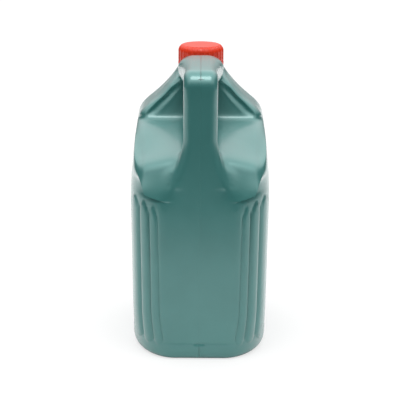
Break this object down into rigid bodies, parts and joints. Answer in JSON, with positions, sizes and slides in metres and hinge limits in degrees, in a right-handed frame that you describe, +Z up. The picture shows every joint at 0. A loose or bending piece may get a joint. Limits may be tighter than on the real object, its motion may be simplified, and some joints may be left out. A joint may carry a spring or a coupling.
{
  "type": "motor oil bottle",
  "caption": "Blown plastic jug for motor oil with a hollow carrying handle, reeded corners, finger recess, ribbed screw cap, sealing liner and tamper ring.",
  "frame": {"origin": "centre of the base, on the surface the bottle stands on", "axes": "+Z up, X across the narrow width, handle at the -Y end and neck towards +Y"},
  "size_m": [0.1256, 0.185, 0.265],
  "materials": {
    "bottle_plastic": "satin metallic",
    "cap_plastic": "satin",
    "liner_foam": "matte"
  },
  "bodies": {
    "bottle": {"bottle": "bottle_plastic", "tamper_ring": "cap_plastic"},
    "liner": {"cap_liner": "liner_foam"},
    "cap": {"cap": "cap_plastic"}
  },
  "joints": [
    {"name": "cap_lift", "type": "slide", "parent": "bottle", "child": "liner", "axis": [0, 0, 1], "range_m": [0, 0.01801]},
    {"name": "cap_turn", "type": "hinge", "parent": "liner", "child": "cap", "pos_m": [0, 0.035, 0.2504], "axis": [0, 0, 1], "range_deg": [0, 1440]}
  ],
  "couplings": [
    {"joint": "cap_lift", "follows": "cap_turn", "m_per_rad": 0.0007162}
  ]
}
